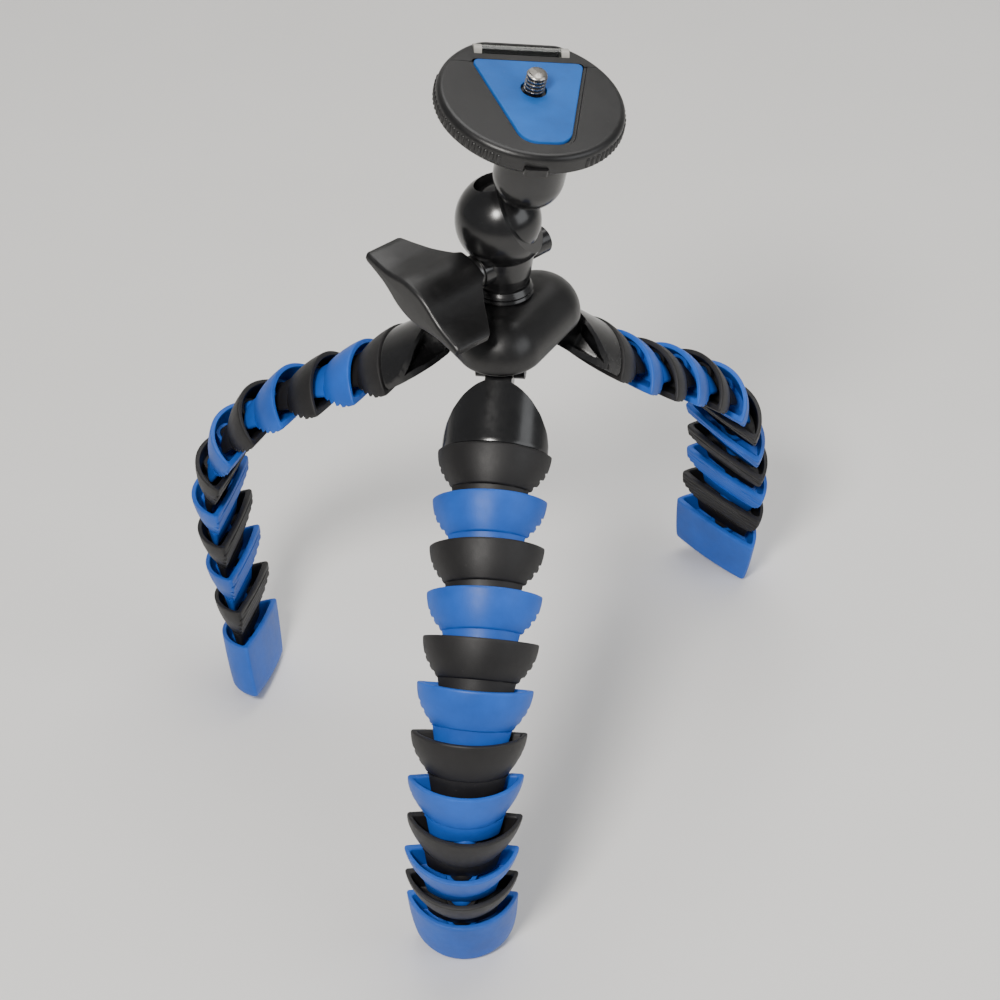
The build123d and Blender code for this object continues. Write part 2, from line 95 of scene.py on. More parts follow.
def mat4(R, p):
    """Pose of a piece whose mesh is in millimetres round its own frame."""
    M = R.to_4x4()
    M.translation = Vector(p) * MM
    return M


def disc_mat():
    R = Matrix((EX, EY, DISC_N)).transposed()
    return mat4(R, DC)


# ------------------------------------------------------------------ materials
def new_mat(name):
    m = bpy.data.materials.new(name)
    m.use_nodes = True
    nt = m.node_tree
    for n in list(nt.nodes):
        nt.nodes.remove(n)
    out = nt.nodes.new("ShaderNodeOutputMaterial")
    b = nt.nodes.new("ShaderNodeBsdfPrincipled")
    nt.links.new(b.outputs[0], out.inputs[0])
    return m, nt, b


def node(nt, kind, **kw):
    n = nt.nodes.new(kind)
    for k, v in kw.items():
        if k.startswith("i_"):
            n.inputs[k[2:]].default_value = v
        else:
            setattr(n, k, v)
    return n


def noise(nt, coord, scale, detail=4.0, rough=0.55, dist=0.0):
    n = node(nt, "ShaderNodeTexNoise")
    n.inputs["Scale"].default_value = scale
    n.inputs["Detail"].default_value = detail
    n.inputs["Roughness"].default_value = rough
    n.inputs["Distortion"].default_value = dist
    nt.links.new(coord, n.inputs["Vector"])
    return n.outputs["Fac"]


def ramp(nt, fac, stops):
    r = node(nt, "ShaderNodeValToRGB")
    e = r.color_ramp.elements
    while len(e) < len(stops):
        e.new(0.5)
    for k, (p, c) in enumerate(stops):
        e[k].position = p
        e[k].color = c if len(c) == 4 else (c[0], c[1], c[2], 1)
    nt.links.new(fac, r.inputs[0])
    return r.outputs[0]


def mathn(nt, op, a, b=None):
    n = node(nt, "ShaderNodeMath", operation=op)
    for k, v in ((0, a), (1, b)):
        if v is None:
            continue
        if isinstance(v, (int, float)):
            n.inputs[k].default_value = v
        else:
            nt.links.new(v, n.inputs[k])
    return n.outputs[0]


def bump(nt, b, parts):
    """Stack of bumps: (height socket, strength, distance m)."""
    last = None
    for h, s, d in parts:
        n = node(nt, "ShaderNodeBump")
        n.inputs["Strength"].default_value = s
        n.inputs["Distance"].default_value = d
        nt.links.new(h, n.inputs["Height"])
        if last is not None:
            nt.links.new(last, n.inputs["Normal"])
        last = n.outputs[0]
    nt.links.new(last, b.inputs["Normal"])


def mixc(nt, fac, a, b):
    n = node(nt, "ShaderNodeMix", data_type="RGBA")
    for k, v in ((0, fac), (6, a), (7, b)):
        if isinstance(v, (int, float)):
            n.inputs[k].default_value = v
        elif isinstance(v, tuple):
            n.inputs[k].default_value = v if len(v) == 4 else (v[0], v[1], v[2], 1)
        else:
            nt.links.new(v, n.inputs[k])
    return n.outputs[2]


def plastic(name, base, rough, grain=0.12, grain_scale=2600.0, dust=0.12, dust_col=(0.16, 0.15, 0.14), spec=0.5, coat=0.0, edge=0.25, rub=0.5):
    """Moulded plastic or rubber: mottled tone, fine grain, faint scuffs, lint, brighter worn edges."""
    m, nt, b = new_mat(name)
    tc = node(nt, "ShaderNodeTexCoord").outputs["Object"]
    big = noise(nt, tc, 55.0, 5.0, 0.6)
    mid = noise(nt, tc, 420.0, 4.0, 0.6)
    fine = noise(nt, tc, grain_scale, 3.0, 0.6)
    lo_c = tuple(c * 0.82 for c in base)
    hi_c = tuple(min(1, c * 1.2 + 0.002) for c in base)
    c = ramp(nt, big, [(0.3, lo_c), (0.7, hi_c)])
    # lint and dust specks
    v = node(nt, "ShaderNodeTexVoronoi")
    v.inputs["Scale"].default_value = 330.0
    nt.links.new(tc, v.inputs["Vector"])
    spot = ramp(nt, v.outputs["Distance"], [(0.0, (1, 1, 1)), (0.09, (0.35, 0.35, 0.35)), (0.14, (0, 0, 0))])
    gate = ramp(nt, noise(nt, tc, 130.0, 2.0), [(0.56, (0, 0, 0)), (0.66, (1, 1, 1))])
    f = mathn(nt, "MULTIPLY", mathn(nt, "MULTIPLY", spot, gate), dust)
    c = mixc(nt, f, c, dust_col)
    # worn edges from the shape of the surface itself
    geo = node(nt, "ShaderNodeNewGeometry")
    pt = ramp(nt, geo.outputs["Pointiness"], [(0.505, (0, 0, 0)), (0.56, (1, 1, 1))])
    ef = mathn(nt, "MULTIPLY", mathn(nt, "MULTIPLY", pt, ramp(nt, mid, [(0.35, (0.2, 0.2, 0.2)), (0.65, (1, 1, 1))])), edge)
    c = mixc(nt, ef, c, tuple(min(1, x * 2.6 + 0.02) for x in base))
    nt.links.new(c, b.inputs["Base Color"])
    r = ramp(nt, mathn(nt, "ADD", mathn(nt, "MULTIPLY", big, 0.6), mathn(nt, "MULTIPLY", mid, 0.4)),
             [(0.32, (rough - 0.07,) * 3), (0.68, (rough + 0.08,) * 3)])
    nt.links.new(r, b.inputs["Roughness"])
    b.inputs["Specular IOR Level"].default_value = spec
    b.inputs["Coat Weight"].default_value = coat
    b.inputs["Coat Roughness"].default_value = 0.15
    wv = noise(nt, tc, 1500.0, 2.0, 0.5, 1.5)
    bump(nt, b, [(mid, 0.10 * rub, 0.0004), (fine, grain, 0.00012), (wv, 0.05 * rub, 0.0001)])
    return m


def steel(name, base=(0.40, 0.38, 0.35), rough=0.3):
    m, nt, b = new_mat(name)
    tc = node(nt, "ShaderNodeTexCoord").outputs["Object"]
    n1 = noise(nt, tc, 900.0, 5.0, 0.6)
    n2 = noise(nt, tc, 120.0, 3.0, 0.6)
    c = ramp(nt, n2, [(0.3, tuple(c * 0.75 for c in base)), (0.7, base)])
    # painted shade: the base colour is darkened to about a tenth in concave grooves such as the screw thread, where
    # shade falls
    geo = node(nt, "ShaderNodeNewGeometry")
    pt = ramp(nt, geo.outputs["Pointiness"], [(0.44, (1, 1, 1)), (0.50, (0, 0, 0))])
    c = mixc(nt, mathn(nt, "MULTIPLY", pt, 0.85), c, tuple(x * 0.12 for x in base))
    nt.links.new(c, b.inputs["Base Color"])
    nt.links.new(ramp(nt, n1, [(0.3, (rough - 0.1,) * 3), (0.7, (rough + 0.12,) * 3)]), b.inputs["Roughness"])
    b.inputs["Metallic"].default_value = 1.0
    bump(nt, b, [(n1, 0.12, 0.0001)])
    return m


M_SATIN = plastic("satin_black_plastic", (0.0052, 0.0050, 0.0052), 0.36, grain=0.16, spec=0.5)
M_GLOSS = plastic("gloss_black_plastic", (0.0055, 0.0055, 0.006), 0.22, grain=0.03, spec=0.5, coat=0.12, dust=0.06, rub=0.25)
M_RBLACK = plastic("rubber_black", (0.0078, 0.0072, 0.0076), 0.52, grain=0.22, spec=0.42, dust=0.16)
M_RBLUE = plastic("rubber_blue", (0.0065, 0.088, 0.45), 0.48, grain=0.2, spec=0.4, dust=0.10, dust_col=(0.10, 0.22, 0.5), edge=0.12)
M_PAD = plastic("pad_blue", (0.008, 0.098, 0.38), 0.62, grain=0.5, grain_scale=3800.0, spec=0.35, dust=0.1, dust_col=(0.2, 0.32, 0.5), edge=0.1)
M_STEEL = steel("zinc_steel")
M_DARK = steel("dark_steel", (0.2, 0.2, 0.2), 0.4)


def glassy(name, col, rough=0.04, trans=1.0, ior=1.49):
    m, nt, b = new_mat(name)
    tc = node(nt, "ShaderNodeTexCoord").outputs["Object"]
    n = noise(nt, tc, 260.0, 3.0)
    nt.links.new(ramp(nt, n, [(0.3, tuple(c * 0.95 for c in col)), (0.7, col)]), b.inputs["Base Color"])
    nt.links.new(ramp(nt, n, [(0.3, (rough,) * 3), (0.7, (rough + 0.05,) * 3)]), b.inputs["Roughness"])
    b.inputs["Transmission Weight"].default_value = trans
    b.inputs["IOR"].default_value = ior
    return m


M_TUBE = glassy("vial_clear", (0.62, 0.64, 0.62))
M_LIQ = glassy("vial_liquid", (0.80, 0.86, 0.78), 0.02, 1.0, 1.36)
M_BUB = glassy("vial_bubble", (1.0, 1.0, 1.0), 0.01, 1.0, 1.05)
M_CAP = plastic("cap_white", (0.36, 0.35, 0.32), 0.25, grain=0.05, dust=0.05, dust_col=(0.4, 0.38, 0.35), edge=0.0)


# ------------------------------------------------------------------ mesh helpers (millimetres)
def d_ring(w, yf, ya, rc, z, ylim=None, nb=12, nc=6, nt_=44):
    """Closed half-moon outline: shallow arc at the back (yf), crown at ya, pointed corners rounded by rc."""
    H = ya - yf
    k = 0.055 * w
    Rc = (w * w + H * H) / (2 * H)
    cy = ya - Rc
    Rb = (w * w + k * k) / (2 * k)
    cb = yf - k + Rb
    r1, r2 = Rc - rc, Rb - rc
    fy = (r1 * r1 - r2 * r2 + cb * cb - cy * cy) / (2 * (cb - cy))
    fx = math.sqrt(r1 * r1 - (fy - cy) ** 2)
    t1 = math.atan2(fy - cy, fx)
    t2 = math.atan2(fy - cb, fx)
    pts = []
    for q in range(nb):
        a = (-math.pi - t2) + (t2 - (-math.pi - t2)) * q / nb
        pts.append((Rb * math.cos(a), cb + Rb * math.sin(a)))
    for q in range(nc):
        a = t2 + (t1 - t2) * q / nc
        pts.append((fx + rc * math.cos(a), fy + rc * math.sin(a)))
    for q in range(nt_):
        a = t1 + (math.pi - 2 * t1) * q / nt_
        pts.append((Rc * math.cos(a), cy + Rc * math.sin(a)))
    for q in range(nc):
        a = math.pi - t1 + (t1 - t2) * q / nc
        pts.append((-fx + rc * math.cos(a), fy + rc * math.sin(a)))
    if ylim is not None:
        xc = math.sqrt(max(0.0, Rc * Rc - (ylim - cy) ** 2))
        pts = [(x, y) if y >= ylim else (math.copysign(min(abs(x), xc - 0.25 * min(1.0, (ylim - y))), x), ylim) for x, y in pts]
    return [(x, y, z) for x, y in pts]


def skin(rings, cap0=True, cap1=True):
    V, F = [], []
    n = len(rings[0])
    for r in rings:
        V += r
    for j in range(len(rings) - 1):
        for k in range(n):
            a, b = j * n + k, j * n + (k + 1) % n
            F.append((a, b, b + n, a + n))
    for j, on in ((0, cap0), (len(rings) - 1, cap1)):
        if on:
            c = len(V)
            xs = [p[0] for p in rings[j]]
            ys = [p[1] for p in rings[j]]
            V.append(((min(xs) + max(xs)) / 2, (min(ys) + max(ys)) / 2, rings[j][0][2]))
            for k in range(n):
                a, b = j * n + k, j * n + (k + 1) % n
                F.append((b, a, c) if j == 0 else (a, b, c))
    return V, F


def lathe(prof, n=64, closed_ends=True, M=None):
    """prof: (r, z) from bottom to top."""
    V, F = [], []
    for r, z in prof:
        for k in range(n):
            a = 2 * math.pi * k / n
            V.append((r * math.cos(a), r * math.sin(a), z))
    for j in range(len(prof) - 1):
        for k in range(n):
            a, b = j * n + k, j * n + (k + 1) % n
            F.append((a, b, b + n, a + n))
    if closed_ends:
        for j in (0, len(prof) - 1):
            if prof[j][0] > 1e-6:
                c = len(V)
                V.append((0, 0, prof[j][1]))
                for k in range(n):
                    a, b = j * n + k, j * n + (k + 1) % n
                    F.append((b, a, c) if j == 0 else (a, b, c))
    if M is not None:
        V = [tuple(M @ Vector(v)) for v in V]
    return V, F


def join(*parts):
    V, F = [], []
    for v, f in parts:
        o = len(V)
        V += list(v)
        F += [tuple(i + o for i in q) for q in f]
    return V, F


def mesh_of(name, VF, mat, smooth_angle=35.0):
    V, F = VF
    me = bpy.data.meshes.new(name)
    me.from_pydata([(x * MM, y * MM, z * MM) for x, y, z in V], [], F)
    bm = bmesh.new()
    bm.from_mesh(me)
    bmesh.ops.remove_doubles(bm, verts=bm.verts, dist=1e-7)
    bmesh.ops.recalc_face_normals(bm, faces=bm.faces)
    for f in bm.faces:
        f.smooth = True
    for e in bm.edges:
        if len(e.link_faces) == 2 and e.calc_face_angle(0) > math.radians(smooth_angle):
            e.smooth = False
    bm.to_mesh(me)
    bm.free()
    me.materials.append(mat)
    return me


def put(name, me, M, body, nodes=(), bev=None):
    """A copy of the mesh, posed in its vertices, so every object sits at the origin."""
    me = me.copy()
    me.name = name
    me.transform(M)
    o = bpy.data.objects.new(name, me)
    bpy.context.scene.collection.objects.link(o)
    if bev:
        b = o.modifiers.new("bevel", "BEVEL")
        b.width = bev[0] * MM
        b.segments = bev[1]
        b.limit_method = "ANGLE"
        b.angle_limit = math.radians(bev[2] if len(bev) > 2 else 32)
        b.harden_normals = False
    bpy.context.view_layer.update()
    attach(o, body)
    if nodes:
        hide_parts(*nodes)
    return o


# ------------------------------------------------------------------ leg cups
def bowl(z):
    """Half width and crown of a cup's side at height z."""
    t = 5.0 - z
    return 18.0 - 0.0107 * t - 0.02987 * t * t, 7.2 - 0.0507 * t - 0.01387 * t * t


def cavity():
    R = [d_ring(8.0, -2.2, 1.6, 0.6, -2.2)]
    for z, q, e in ((-2.2, 0.0, 0.2), (-2.1, 0.02, 0.05), (-1.6, 0.08, 0.0), (1.5, 0.51, 0.0), (4.3, 0.9, 0.0), (4.75, 0.97, 0.0), (5.0, 1.0, -0.25)):
        R.append(d_ring(14.0 + 2.3 * q - e, -3.9 - 1.4 * q + e * 0.8, 4.0 + 1.5 * q - e * 0.8, 0.8, z))
    # lip
    R.append(d_ring(17.45, -6.5, 6.65, 0.8, 5.0))
    R.append(d_ring(17.8, -6.82, 7.0, 0.85, 4.88))
    R.append(d_ring(17.96, -6.97, 7.16, 0.9, 4.6))
    return R


def cup_mesh(name, mat):
    R = cavity()
    # rounded ribs of the inner side, a groove between each two
    for z, yy in ((4.2, None), (3.75, -7.9), (3.55, -7.45), (3.3, -7.2), (3.0, -7.35), (2.8, -7.7), (2.5, -7.75), (2.1, -7.6)):
        w, a = bowl(z)
        R.append(d_ring(w, -7.0, a, 0.9, z, yy))
    for yl, z in ((-6.8, 1.9), (-5.9, -0.6), (-5.0, -3.1), (-4.1, -5.6)):
        for dz, dy in ((0.0, 0.25), (0.12, 0.62), (0.4, 0.68), (0.65, 0.3), (0.9, 0.06), (1.3, -0.04), (1.8, 0.0), (2.2, 0.02)):
            zz = z - dz
            if zz < -7.1:
                continue
            w, a = bowl(zz)
            R.append(d_ring(w, -7.0, a, 0.9, zz, yl + dy))
    w, a = bowl(-7.2)
    R.append(d_ring(w, -7.0, a, 0.9, -7.2, -4.1))
    R.append(d_ring(w - 0.35, -6.8, a - 0.3, 0.9, -7.42, -3.95))
    R.append(d_ring(12.9, -3.75, 4.0, 0.8, -7.5))
    for z, e in ((-7.56, 0.0), (-8.1, 0.0), (-10.4, 0.0), (-13.2, 0.0), (-13.7, 0.25), (-13.95, 0.85)):
        q = (-7.0 - z) / 7.0
        R.append(d_ring(12.7 - 1.1 * q - e, -3.2 + 0.9 * q + e * 0.7, 3.8 - 1.0 * q - e * 0.7, 0.8, z))
    body = skin(R)
    sock = lathe([(4.6, -2.3), (5.0, -1.0), (5.0, 0.2), (4.85, 0.55), (4.2, 0.6), (3.68, 0.5), (3.3, -1.2), (1.5, -2.2)], 40, False)
    ball = lathe([(3.6 * math.cos(math.radians(a)), -15 + 3.6 * math.sin(math.radians(a))) for a in range(-90, 60, 10)] + [(1.8, -11.9), (1.8, -10)], 32, True)
    return mesh_of(name, join(body, sock, ball), mat)


def foot_mesh(name, mat):
    R = cavity()
    for z in (3.2, 0.0, -2.5, -5.0, -8.0, -11.0, -14.0, -15.2):
        t = (5.0 - z) / 20.8
        R.append(d_ring(18.0 - 1.1 * t - 0.8 * t ** 4, -7.0, 7.2 - 0.45 * t - 0.45 * t ** 4, 0.9, z))
    for z, e in ((-15.9, 0.12), (-16.4, 0.45), (-16.8, 0.95), (-17.0, 1.7)):
        R.append(d_ring(16.0 - e, -7.0 + e * 0.7, 6.25 - e, 0.9, z))
    R.append(d_ring(8.0, -3.0, 2.6, 0.9, -17.0))
    sock = lathe([(4.6, -2.3), (5.0, -1.0), (5.0, 0.2), (4.85, 0.55), (4.2, 0.6), (3.68, 0.5), (3.3, -1.2), (1.5, -2.2)], 40, False)
    return mesh_of(name, join(skin(R), sock), mat)


CUP_K = cup_mesh("cup_black", M_RBLACK)
CUP_B = cup_mesh("cup_blue", M_RBLUE)
FOOT = foot_mesh("foot_blue", M_RBLUE)
for leg in LEGS:
    pin, out, links = leg_frames(leg)
    for i, (p, R) in enumerate(links):
        if i == 11:
            put("v_%s_foot" % leg, FOOT, mat4(R, p), "%s_foot" % leg, ["%s_foot" % leg])
        else:
            body = "%s_root" % leg if i == 0 else "%s_link_%02d" % (leg, i + 1)
            black = i % 2 == 0
            put("v_%s_cup_%02d" % (leg, i + 1), CUP_K if black else CUP_B, mat4(R, p), body,
                ["%s_cup_%02d" % (leg, i + 1)])

# ------------------------------------------------------------------ knuckles
def knuckle_mesh(name, mat):
    zp, zb = 32.0, 5.05
    prof = [(4.0, 7.6), (7.1, 9.0), (10.5, 11.7), (13.7, 15.7), (15.8, 20.2), (16.5, 24.6), (16.5, 27.0)]

    def sil(z):
        L = zp - z
        for (x0, l0), (x1, l1) in zip(prof, prof[1:]):
            if L <= l1:
                return x0 + (x1 - x0) * max(0.0, L - l0) / (l1 - l0)
        return 16.5

    def soft(z):
        return (sil(z) * 2 + sil(z - 0.8) + sil(z + 0.8)) / 4.0 if z < zp - 8.6 else sil(z)

    def ring(z, shrink=0.0):
        q = (z - zb) / (zp - 7.0 - zb)
        w, yf, ya = 16.9 - 0.3 * q - shrink, -5.8 + 0.6 * q + shrink * 0.7, 6.6 + 0.6 * q - shrink * 0.7
        H = ya - yf
        k = 0.055 * w
        Rc = (w * w + H * H) / (2 * H)
        cy = ya - Rc
        Rb = (w * w + k * k) / (2 * k)
        cb = yf - k + Rb

        def crown(x):
            return cy + math.sqrt(max(0.0, Rc * Rc - x * x))

        def back(x):
            return cb - math.sqrt(Rb * Rb - x * x)
        X = min(soft(z), w - 0.45)
        top, bot = crown(X), back(X)
        mid = (top + bot) / 2 - 0.3
        g = max(0.0, min(1.0, (z - (zp - 20.5)) / 8.0))
        p1, p0 = mid + (top - 1.3 - mid) * g, mid - (mid - bot - 1.7) * g
        xi = X - 0.02 if g < 0.06 or p1 - p0 < 0.5 else max(4.3, X - 9.0 * g)
        if p1 < p0:
            p0 = p1 = mid
        pts = [(-X + 2 * X * n / 12, back(-X + 2 * X * n / 12)) for n in range(13)]
        side = [(X, p0), (xi, p0), (xi, p1), (X, p1)]
        pts += side
        amax = math.asin(min(1.0, X / Rc))
        pts += [(Rc * math.sin(amax - 2 * amax * n / 40), cy + Rc * math.cos(amax - 2 * amax * n / 40)) for n in range(41)]
        pts += [(-x, y) for x, y in reversed(side)]
        return [(x, y, z) for x, y in pts]
    R = [ring(zb, 1.2), ring(zb + 0.02, 0.5), ring(zb + 0.25, 0.12), ring(zb + 0.6)]
    z = zb + 1.4
    while z < zp - 7.9:
        R.append(ring(z))
        z += 0.55
    R.append(ring(zp - 7.62))
    body = skin(R)
    # ear round the hinge pin
    o = []
    for n in range(25):
        a = math.pi * n / 24
        o.append((4.0 * math.cos(a), zp + 4.0 * math.sin(a)))
    o.append((-4.0, zp - 10.0))
    o.append((4.0, zp - 10.0))
    h = [(1.55 * math.cos(2 * math.pi * n / 27), zp + 1.55 * math.sin(2 * math.pi * n / 27)) for n in range(27)]
    V, F = [], []
    for x in (-4.15, 4.15):
        V += [(x, y, zz) for y, zz in o]
        V += [(x, y, zz) for y, zz in h]
    for n in range(27):
        m = (n + 1) % 27
        F.append((n, m, m + 54, n + 54))
        F.append((n + 27, m + 27, m + 81, n + 81))
        F.append((n, m, m + 27, n + 27))
        F.append((n + 54, m + 54, m + 81, n + 81))
    nose = skin([d_ring(12.2, -2.9, 3.4, 0.8, 1.0), d_ring(12.6, -3.2, 3.7, 0.8, 1.5), d_ring(12.7, -3.2, 3.8, 0.8, 6.0)])
    ball = lathe([(3.6 * math.cos(math.radians(a)), 3.6 * math.sin(math.radians(a))) for a in range(-90, 60, 10)] + [(1.8, 3.1), (1.8, 5.5)], 32, True)
    return mesh_of(name, join(body, (V, F), nose, ball), mat, 33)


KNUCKLE = knuckle_mesh("knuckle_black", M_GLOSS)
for leg in LEGS:
    pin, out, links = leg_frames(leg)
    put("v_%s_knuckle" % leg, KNUCKLE, mat4(links[0][1], links[0][0]), "%s_root" % leg, ["%s_knuckle" % leg], bev=(0.35, 2, 42))

# ------------------------------------------------------------------ camera screw with its thread
DM = disc_mat()


def thread_mesh(name, mat, r1=3.175, r0=2.3, pitch=1.27, z0=0.3, z1=6.5, n=48):
    V, F = [], []
    steps = 14
    rows = int((z1 - z0) / pitch * steps)
    for j in range(rows + 1):
        z = z0 + (z1 - z0) * j / rows
        for k in range(n):
            a = 2 * math.pi * k / n
            ph = (z / pitch - k / n) % 1.0
            t = abs(ph - 0.5) * 2
            q = min(1.0, max(0.0, (t - 0.2) / 0.45))
            r = r0 + (r1 - r0) * q
            top = max(0.0, z - (z1 - 0.6))
            r = min(r, r1 - 0.9 * top)
            V.append((r * math.cos(a), r * math.sin(a), z))
    for j in range(rows):
        for k in range(n):
            a, b = j * n + k, j * n + (k + 1) % n
            F.append((a, b, b + n, a + n))
    c = len(V)
    V.append((0, 0, z1 + 0.12))
    for k in range(n):
        F.append((rows * n + k, rows * n + (k + 1) % n, c))
    c = len(V)
    V.append((0, 0, z0))
    for k in range(n):
        F.append(((k + 1) % n, k, c))
    head = lathe([(0.01, -3.8), (5.6, -3.8), (5.9, -3.6), (5.9, -2.3), (5.6, -2.1), (2.6, -2.1), (2.6, 0.4)], 48, False)
    return mesh_of(name, join((V, F), head), mat, 50)


SCR = Matrix.Translation(Vector((0.9, 2.6, 0)) * MM)
put("v_camera_screw", thread_mesh("camera_screw_thread", M_STEEL), DM @ SCR, "screw", ["camera_screw"])

# ------------------------------------------------------------------ rubber pad with its round front corners
def pad_mesh(name, mat):
    cx, cy = 0.9, 2.6
    corners = [((1.2 - 17.1, 15.8), 1.6), ((1.2 - 6.9, -21.4), 6.2), ((1.2 + 6.9, -21.4), 6.2), ((1.2 + 17.1, 15.8), 1.6)]
    pts = []
    n = len(corners)
    for k in range(n):
        (x, y), r = corners[k]
        a = Vector(corners[k - 1][0]) - Vector((x, y))
        b = Vector(corners[(k + 1) % n][0]) - Vector((x, y))
        a.normalize()
        b.normalize()
        half = a.angle(b) / 2
        c = Vector((x, y)) + (a + b).normalized() * (r / math.sin(half))
        p, q = Vector((x, y)) + a * (r / math.tan(half)) - c, Vector((x, y)) + b * (r / math.tan(half)) - c
        t0, t1 = math.atan2(p.y, p.x), math.atan2(q.y, q.x)
        d = (t1 - t0 + math.pi) % (2 * math.pi) - math.pi
        for j in range(13):
            t = t0 + d * j / 12
            pts.append(Vector((c.x + r * math.cos(t), c.y + r * math.sin(t))))
    m = 200
    out = []
    for k in range(m):
        a = 2 * math.pi * k / m
        u = Vector((math.cos(a), math.sin(a)))
        best = 0.0
        for j in range(len(pts)):
            p, q = pts[j] - Vector((cx, cy)), pts[(j + 1) % len(pts)] - Vector((cx, cy))
            e = q - p
            det = u.x * (-e.y) + e.x * u.y
            if abs(det) < 1e-9:
                continue
            t = (p.x * (-e.y) + e.x * p.y) / det
            w_ = (u.x * p.y - u.y * p.x) / det
            if t > 0 and -1e-6 <= w_ <= 1 + 1e-6:
                best = max(best, t)
        out.append(best)
    rows = [(-0.8, 0.0, None), (0.1, 0.0, None), (0.28, 0.1, None), (0.37, 0.26, None), (0.4, 0.5, None), (0.4, None, 4.2), (0.33, None, 3.98), (0.15, None, 3.9), (-0.8, None, 3.9)]
    V, F = [], []
    for z, e, r in rows:
        for k in range(m):
            a = 2 * math.pi * k / m
            d = out[k] - e if r is None else r
            V.append((cx + d * math.cos(a), cy + d * math.sin(a), z))
    for j in range(len(rows)):
        for k in range(m):
            a, b = j * m + k, j * m + (k + 1) % m
            c, d = ((j + 1) % len(rows)) * m + (k + 1) % m, ((j + 1) % len(rows)) * m + k
            F.append((a, b, c, d))
    return mesh_of(name, (V, F), mat, 40)


put("v_plate_pad", pad_mesh("pad_rounded", M_PAD), DM, "plate", ["plate_pad"])

# ------------------------------------------------------------------ wing knob with rounded edges
BOLT = Vector((OX + HX, OY, 198.5))
KD = Vector((math.cos(math.radians(222.0)), math.sin(math.radians(222.0)), 0))
WT = Vector((-KD.y, KD.x, 0))
WROLL = math.radians(20.7)
WX = WT * math.cos(WROLL) - Vector((0, 0, math.sin(WROLL)))
WY = KD.cross(WX)


def knob_mesh(name, mat):
    prof = [(0.0, 6.1), (3.0, 5.9), (6.0, 5.2), (9.0, 3.9), (13.0, 2.6), (18.0, 1.95), (21.4, 1.7), (22.2, 1.1)]
    m = 41

    def lin(x):
        x = abs(x)
        for (x0, y0), (x1, y1) in zip(prof, prof[1:]):
            if x <= x1:
                return y0 + (y1 - y0) * (x - x0) / (x1 - x0)
        return prof[-1][1]

    def h(x):
        return (lin(x) * 2 + lin(x - 1.0) + lin(x + 1.0) + lin(x - 0.5) + lin(x + 0.5)) / 6.0 if abs(x) < 20.5 else lin(x)

    def ring(L, d, e=0.0):
        top = []
        for k in range(m):
            x = -L + 2 * L * k / (m - 1)
            top.append((x * (L - e) / L, max(h(x) - e, 0.25)))
        pts = top + [(x, -y) for x, y in reversed(top)]
        return [(x, y, d) for x, y in pts]

    def reach(d):
        if d < 15.9:
            return 5.0 + (d - 13.0) / 2.9 * 1.8
        return min(22.2, 6.8 + (d - 15.9) / 9.0 * 15.6)
    R = [ring(reach(13.6), 13.6, 0.5), ring(reach(13.8), 13.8, 0.15)]
    d = 14.2
    while d < 24.8:
        R.append(ring(reach(d), d))
        d += 0.6
    R.append(ring(22.2, 24.95))
    R.append(ring(22.2, 30.0))
    for d, e in ((36.6, 0.0), (37.1, 0.12), (37.5, 0.35), (37.8, 0.68), (37.95, 1.0), (38.0, 1.35)):
        R.append(ring(22.2, d, e))
    M3 = Matrix((WX, WY, KD)).transposed().to_4x4()
    V, F = skin(R)
    V = [tuple(M3 @ Vector(v) + BOLT) for v in V]
    return mesh_of(name, (V, F), mat, 28)


put("v_wing_knob", knob_mesh("wing_knob_round", M_SATIN), Matrix.Identity(4), "knob", ["wing_knob"], bev=(0.45, 3, 28))

# ------------------------------------------------------------------ grip ridges on the platform's rim
RV, RF = [], []
for a0, a1 in ((-62, 22), (158, 242)):
    a = a0
    while a <= a1:
        t = math.radians(a)
        o, sd = Vector((math.cos(t), math.sin(t), 0)), Vector((-math.sin(t), math.cos(t), 0))
        prof = [(-0.75, 27.9), (-0.6, 28.45), (-0.3, 28.72), (0.0, 28.8), (0.3, 28.72), (0.6, 28.45), (0.75, 27.9)]
        b0 = len(RV)
        zz = [(-5.7, 0.55), (-5.4, 0.1), (-5.0, 0.0), (-2.9, 0.0), (-2.5, 0.1), (-2.2, 0.55)]
        for z, e in zz:
            for x, r_ in prof:
                RV.append(tuple(sd * x + o * (r_ - e) + Vector((0, 0, z))))
        for j in range(len(zz) - 1):
            for k in range(6):
                q = b0 + j * 7 + k
                RF.append((q, q + 1, q + 8, q + 7))
        RF.append(tuple(b0 + k for k in range(7)))
        RF.append(tuple(b0 + 35 + k for k in reversed(range(7))))
        a += 4.2
put("v_rim_ridges", mesh_of("rim_ridges", (RV, RF), M_SATIN, 60), DM, "platform", ())

# ------------------------------------------------------------------ finish of the nodes that stay
KEEP = {
    "platform_disc": M_SATIN, "quick_release_plate": M_SATIN, "vial_tube": M_TUBE, "vial_caps": M_CAP,
    "release_button": M_SATIN, "release_spring": M_STEEL, "ball_stem": M_GLOSS, "neck_housing": M_GLOSS,
    "clamp_bolt": M_STEEL, "clamp_nut": M_STEEL, "clamp_washer": M_DARK, "collar_ring": M_GLOSS, "neck_screw": M_STEEL,
    "hub_dome": M_SATIN, "hub_base": M_SATIN, "hinge_pins": M_STEEL, "hub_screws": M_STEEL,
}
for k, m in KEEP.items():
    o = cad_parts[k]
    if not o.material_slots:
        o.data.materials.append(m)
    for s in o.material_slots:
        s.material = m

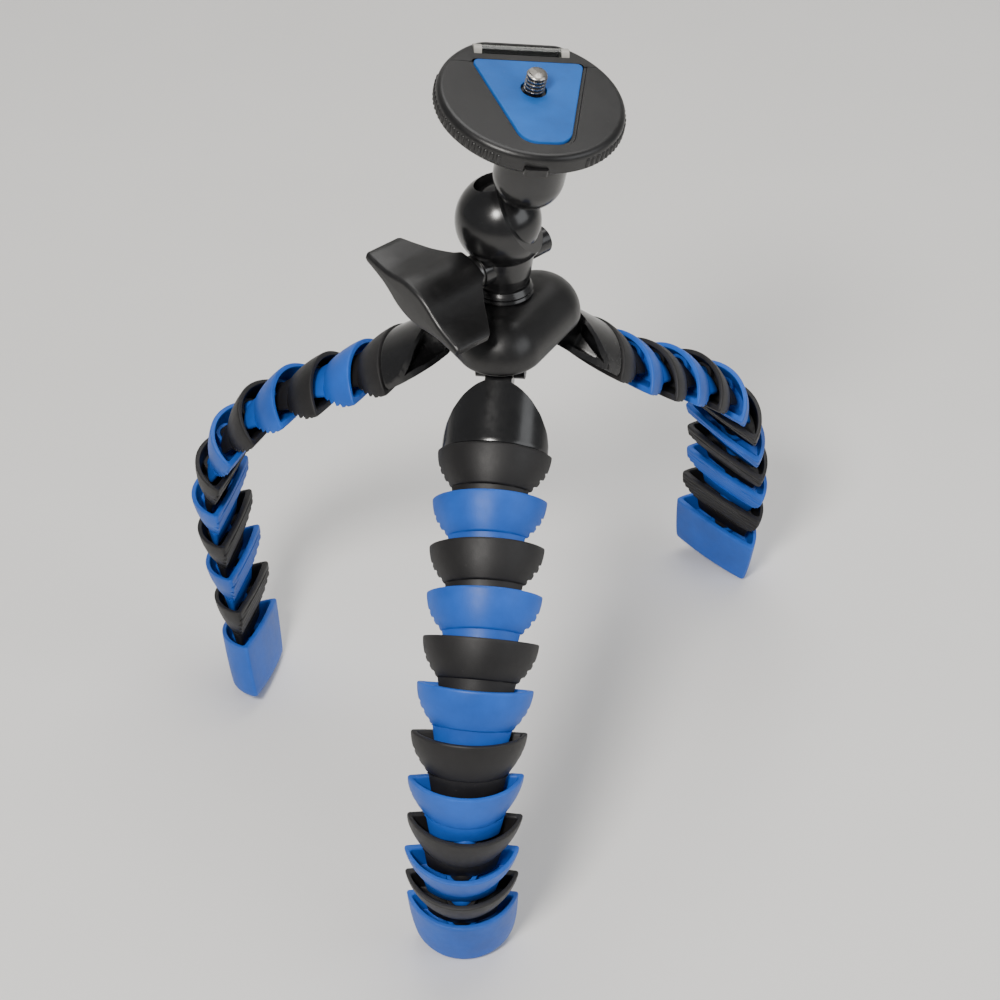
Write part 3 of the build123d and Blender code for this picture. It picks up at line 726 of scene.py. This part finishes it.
# ------------------------------------------------------------------ floor, light and camera
floor_m, fnt, fb = new_mat("floor_pale")
tc = node(fnt, "ShaderNodeTexCoord").outputs["Object"]
fn = noise(fnt, tc, 6.0, 3.0)
fnt.links.new(ramp(fnt, fn, [(0.3, (0.80, 0.79, 0.77)), (0.7, (0.83, 0.82, 0.80))]), fb.inputs["Base Color"])
fb.inputs["Roughness"].default_value = 0.75
me = bpy.data.meshes.new("floor")
# floor with a soft sweep up behind
V, F = [], []
prof = [(-1.6, 0.0), (0.9, 0.0)] + [(0.9 + 0.6 * math.sin(a), 0.6 - 0.6 * math.cos(a)) for a in [math.pi / 2 * k / 12 for k in range(1, 13)]] + [(1.5, 2.2)]
for x in (-3.0, 3.0):
    for y, z in prof:
        V.append((x, y, z))
n = len(prof)
for k in range(n - 1):
    F.append((k, n + k, n + k + 1, k + 1))
me.from_pydata(V, [], F)
for p in me.polygons:
    p.use_smooth = True
me.materials.append(floor_m)
fl = bpy.data.objects.new("floor", me)
bpy.context.scene.collection.objects.link(fl)


def area(name, loc, target, size, energy, col):
    L = bpy.data.lights.new(name, "AREA")
    L.shape = "DISK" if isinstance(size, (int, float)) else "RECTANGLE"
    if isinstance(size, (int, float)):
        L.size = size
    else:
        L.size, L.size_y = size
    L.energy = energy
    L.color = col
    o = bpy.data.objects.new(name, L)
    bpy.context.scene.collection.objects.link(o)
    d = Vector(target) - Vector(loc)
    o.matrix_world = Matrix.Translation(Vector(loc)) @ d.to_track_quat("-Z", "Y").to_matrix().to_4x4()
    return o


area("key", (-0.35, -0.95, 1.15), (0, 0, 0.14), 0.32, 19.0, (1.0, 0.97, 0.93))
area("fill", (1.1, -0.5, 0.7), (0, 0, 0.12), (0.9, 0.7), 5.0, (0.96, 0.98, 1.0))
area("top", (0.1, 0.35, 1.3), (0, 0, 0.15), (1.0, 0.8), 9.0, (1.0, 0.99, 0.97))
w = bpy.data.worlds.new("studio")
w.use_nodes = True
w.node_tree.nodes["Background"].inputs[0].default_value = (0.92, 0.93, 0.95, 1)
w.node_tree.nodes["Background"].inputs[1].default_value = 0.30
bpy.context.scene.world = w

F_PX, PITCHD, ROLLD = 2754.6, 37.02, -0.7665
CAM = Vector((-3.027 + OX, -721.333 + OY, 649.409)) * MM
r = Vector((1, 0, 0))
f = Vector((0, math.cos(math.radians(PITCHD)), -math.sin(math.radians(PITCHD))))
u = r.cross(f)
cr, sr = math.cos(math.radians(ROLLD)), math.sin(math.radians(ROLLD))
r2 = r * cr + u * sr
u2 = u * cr - r * sr
cd = bpy.data.cameras.new("cam")
cd.sensor_width = 36.0
cd.lens = F_PX * 36.0 / 1000.0
cam = bpy.data.objects.new("cam", cd)
bpy.context.scene.collection.objects.link(cam)
M = Matrix((r2, u2, -f)).transposed().to_4x4()
M.translation = CAM
cam.matrix_world = M
bpy.context.scene.camera = cam

bpy.context.view_layer.update()
